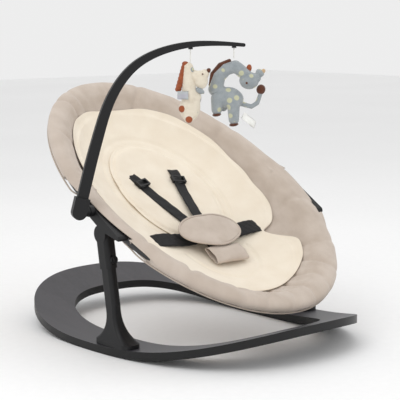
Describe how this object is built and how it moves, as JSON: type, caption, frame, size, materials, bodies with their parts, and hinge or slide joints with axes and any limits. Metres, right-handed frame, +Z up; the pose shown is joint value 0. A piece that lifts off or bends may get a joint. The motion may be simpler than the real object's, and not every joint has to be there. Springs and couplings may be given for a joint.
{
  "type": "baby bouncer seat",
  "caption": "Oval padded baby bouncer seat on a curved plywood rocker board, with telescopic legs, a harness and a side-mounted toy arch with hanging soft toys.",
  "frame": {"origin": "on the floor, under the middle of the whole object", "axes": "+Z up, +X towards the foot end, -Y the side that carries the toy arch"},
  "size_m": [0.706, 0.5984, 0.596],
  "materials": {
    "board_black": "satin black stained plywood",
    "plastic_black": "fine textured black",
    "steel_black": "black powder coat",
    "steel_pin": "plain",
    "rubber_black": "matt",
    "fabric_taupe": "soft jersey",
    "fabric_cream": "soft jersey",
    "webbing_black": "woven webbing",
    "plush_cream": "short plush",
    "plush_grey": "short plush",
    "tape_white": "woven tape"
  },
  "bodies": {
    "base": {"base_board": "board_black", "lower_leg_left": "plastic_black", "lower_leg_right": "plastic_black", "leg_screws": "steel_pin", "rear_stoppers": "rubber_black"},
    "sleeves": {"sleeve_left": "plastic_black", "sleeve_right": "plastic_black", "button_spring_left": "steel_pin", "button_spring_right": "steel_pin"},
    "height_button_left": {"height_button_left": "plastic_black"},
    "height_button_right": {"height_button_right": "plastic_black"},
    "seat": {"seat_tube": "steel_black", "seat_shell": "fabric_taupe", "seat_inlay": "fabric_cream", "inner_pad": "fabric_cream", "shoulder_strap_left": "webbing_black", "shoulder_strap_right": "webbing_black", "waist_strap_left": "webbing_black", "waist_strap_right": "webbing_black", "strap_adjuster_left": "plastic_black", "strap_adjuster_right": "plastic_black", "buckle_tongue_left": "plastic_black", "buckle_tongue_right": "plastic_black", "buckle_housing": "plastic_black", "crotch_pad": "fabric_taupe", "crotch_sleeve": "fabric_taupe", "crotch_strap": "webbing_black", "side_rail_left": "plastic_black", "side_rail_right": "plastic_black", "pivot_pin_left": "steel_pin", "pivot_pin_right": "steel_pin", "arch_hub": "plastic_black", "arch_hub_pin": "steel_pin"},
    "buckle_button": {"buckle_button": "plastic_black"},
    "arch_socket": {"arch_socket": "plastic_black"},
    "arch_bar": {"arch_bar": "plastic_black", "toy_clip_1": "plastic_black", "toy_clip_2": "plastic_black"},
    "toy_1": {"toy_tape_1": "tape_white", "toy_1_body": "plush_cream", "toy_1_head": "plush_cream"},
    "toy_2": {"toy_tape_2": "tape_white", "toy_2_body": "plush_grey", "toy_2_neck": "plush_grey", "toy_2_head": "plush_grey", "toy_2_tail": "plush_grey"}
  },
  "joints": [
    {"name": "height_slide", "type": "slide", "parent": "base", "child": "sleeves", "axis": [-0.172, 0, 0.9851], "range_m": [0, 0.045]},
    {"name": "press_left", "type": "slide", "parent": "sleeves", "child": "height_button_left", "axis": [-0.9851, 0, -0.172], "range_m": [0, 0.0024], "stiffness_N_per_m": 600, "deforming": ["button_spring_left"]},
    {"name": "press_right", "type": "slide", "parent": "sleeves", "child": "height_button_right", "axis": [-0.9851, 0, -0.172], "range_m": [0, 0.0024], "stiffness_N_per_m": 600, "deforming": ["button_spring_right"]},
    {"name": "recline", "type": "hinge", "parent": "sleeves", "child": "seat", "pos_m": [0.02233, 0.02323, 0.22924], "axis": [0, 1, 0], "range_deg": [-15, 0]},
    {"name": "buckle_press", "type": "slide", "parent": "seat", "child": "buckle_button", "axis": [-0.53, 0, -0.848], "range_m": [0, 0.002], "stiffness_N_per_m": 600},
    {"name": "arch_swing", "type": "hinge", "parent": "seat", "child": "arch_socket", "pos_m": [0.0264, -0.25977, 0.27753], "axis": [0, 1, 0], "range_deg": [-50, 15]},
    {"name": "arch_lift", "type": "slide", "parent": "arch_socket", "child": "arch_bar", "axis": [0.103, 0.2259, 0.9687], "range_m": [0, 0.05]},
    {"name": "toy_1_swing", "type": "hinge", "parent": "arch_bar", "child": "toy_1", "pos_m": [0.11687, -0.08333, 0.57728], "axis": [0.4129, 0.9108, 0], "range_deg": [-30, 30]},
    {"name": "toy_2_swing", "type": "hinge", "parent": "arch_bar", "child": "toy_2", "pos_m": [0.15281, -0.0041, 0.5792], "axis": [0.4129, 0.9108, 0], "range_deg": [-30, 30]}
  ]
}
